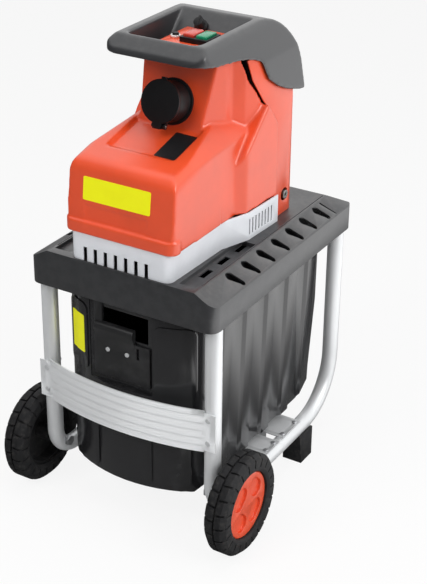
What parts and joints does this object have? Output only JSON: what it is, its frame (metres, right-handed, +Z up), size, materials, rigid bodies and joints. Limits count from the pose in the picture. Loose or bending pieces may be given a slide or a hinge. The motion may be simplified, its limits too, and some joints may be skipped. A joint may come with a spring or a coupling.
{
  "type": "garden shredder",
  "caption": "Electric garden shredder: motor housing and hooded controls on a two-wheeled tube frame, with a slide-out collection box below.",
  "frame": {"origin": "on the floor, under the middle of the outline box", "axes": "+X to the right seen from the front, +Y towards the back where the box slides out, +Z up"},
  "size_m": [0.512, 0.595, 0.937],
  "materials": {
    "silver_tube": "silver powder coat, satin",
    "zinc_steel": "zinc plated, satin",
    "gear_steel": "hardened and ground",
    "cast_alloy": "die cast, matte",
    "tyre_black": "moulded tread, matte",
    "red_plastic": "moulded, fine satin texture",
    "grey_plastic": "moulded, fine grain",
    "pale_plastic": "moulded, satin",
    "black_plastic": "moulded, satin",
    "foot_rubber": "moulded, matte",
    "contact_brass": "plain",
    "green_plastic": "moulded, glossy",
    "stop_red_plastic": "moulded, glossy",
    "white_plastic": "moulded, glossy"
  },
  "bodies": {
    "frame": {"left_frame_tube": "silver_tube", "right_frame_tube": "silver_tube", "front_band": "silver_tube", "band_bolts": "zinc_steel", "front_cross_plate": "zinc_steel", "rear_cross_plate": "zinc_steel", "plate_rivets": "zinc_steel", "left_axle": "zinc_steel", "right_axle": "zinc_steel", "axle_spacers": "black_plastic", "axle_nuts": "zinc_steel", "left_foot": "foot_rubber", "right_foot": "foot_rubber", "foot_screws": "zinc_steel", "deck": "grey_plastic", "interlock_switch": "black_plastic", "motor_skirt": "pale_plastic", "front_housing": "red_plastic", "rear_housing": "red_plastic", "hood": "grey_plastic", "control_panel": "red_plastic", "switch_base": "black_plastic", "reset_bezel": "white_plastic", "inlet_collar": "black_plastic", "inlet_pins": "contact_brass", "inlet_hinge_pin": "zinc_steel", "feed_chute": "grey_plastic", "motor_case": "cast_alloy", "motor_front_shield": "cast_alloy", "motor_rear_shield": "cast_alloy", "motor_mount": "zinc_steel", "run_capacitor": "pale_plastic", "gearbox_case": "cast_alloy", "gearbox_cover": "cast_alloy", "cutter_frame": "cast_alloy", "drum_bearings": "cast_alloy"},
    "left_wheel": {"left_tyre": "tyre_black", "left_hub": "red_plastic"},
    "right_wheel": {"right_tyre": "tyre_black", "right_hub": "red_plastic"},
    "box": {"collection_box": "black_plastic"},
    "latch": {"latch_plate": "black_plastic", "latch_screws": "zinc_steel"},
    "inlet_cover": {"inlet_cover": "black_plastic"},
    "start_button": {"start_button": "green_plastic"},
    "stop_button": {"stop_button": "stop_red_plastic"},
    "reset_button": {"reset_button": "black_plastic"},
    "selector_knob": {"selector_knob": "black_plastic"},
    "rotor": {"motor_rotor": "zinc_steel", "cooling_fan": "black_plastic", "motor_pinion": "gear_steel"},
    "idler": {"idler_shaft": "zinc_steel", "first_gear": "gear_steel", "second_pinion": "gear_steel"},
    "drum": {"drum_shaft": "zinc_steel", "cutter_drum": "gear_steel", "output_gear": "gear_steel"},
    "anvil": {"anvil_plate": "gear_steel"},
    "adjuster": {"anvil_screw": "zinc_steel"}
  },
  "joints": [
    {"name": "left_wheel_spin", "type": "hinge", "parent": "frame", "child": "left_wheel", "pos_m": [-0.2325, -0.1975, 0.1], "axis": [1, 0, 0], "continuous": true},
    {"name": "right_wheel_spin", "type": "hinge", "parent": "frame", "child": "right_wheel", "pos_m": [0.2325, -0.1975, 0.1], "axis": [1, 0, 0], "continuous": true},
    {"name": "box_slide", "type": "slide", "parent": "frame", "child": "box", "axis": [0, 1, 0], "range_m": [0, 0.5]},
    {"name": "latch_slide", "type": "slide", "parent": "box", "child": "latch", "axis": [0, 0, 1], "range_m": [0, 0.022]},
    {"name": "inlet_cover_hinge", "type": "hinge", "parent": "frame", "child": "inlet_cover", "pos_m": [0, -0.1078, 0.77767], "axis": [1, 0, 0], "range_deg": [0, 90]},
    {"name": "start_press", "type": "slide", "parent": "frame", "child": "start_button", "axis": [0, 0, -1], "range_m": [0, 0.004], "stiffness_N_per_m": 500, "springref_m": -0.004},
    {"name": "stop_press", "type": "slide", "parent": "frame", "child": "stop_button", "axis": [0, 0, -1], "range_m": [0, 0.004], "stiffness_N_per_m": 500, "springref_m": -0.004},
    {"name": "reset_press", "type": "slide", "parent": "frame", "child": "reset_button", "axis": [0, 0, -1], "range_m": [0, 0.003], "stiffness_N_per_m": 500, "springref_m": -0.004},
    {"name": "selector_turn", "type": "hinge", "parent": "frame", "child": "selector_knob", "pos_m": [-0.018, 0.06765, 0.91124], "axis": [0, -0.6746, 0.7382], "range_deg": [-45, 45]},
    {"name": "drum_turn", "type": "hinge", "parent": "frame", "child": "drum", "pos_m": [0, 0.1235, 0.605], "axis": [0, 1, 0], "continuous": true},
    {"name": "idler_turn", "type": "hinge", "parent": "frame", "child": "idler", "pos_m": [0.04172, -0.0165, 0.64812], "axis": [0, 1, 0], "continuous": true},
    {"name": "rotor_turn", "type": "hinge", "parent": "frame", "child": "rotor", "pos_m": [0, -0.1245, 0.665], "axis": [0, 1, 0], "continuous": true},
    {"name": "adjuster_turn", "type": "hinge", "parent": "frame", "child": "adjuster", "pos_m": [0.1, 0.1385, 0.582], "axis": [1, 0, 0], "range_deg": [-240, 720]},
    {"name": "anvil_slide", "type": "slide", "parent": "frame", "child": "anvil", "axis": [1, 0, 0], "range_m": [-0.001, 0.003]}
  ],
  "couplings": [
    {"joint": "idler_turn", "follows": "drum_turn", "ratio": -5},
    {"joint": "rotor_turn", "follows": "drum_turn", "ratio": 25},
    {"joint": "adjuster_turn", "follows": "anvil_slide", "rad_per_m": 4188.8}
  ]
}
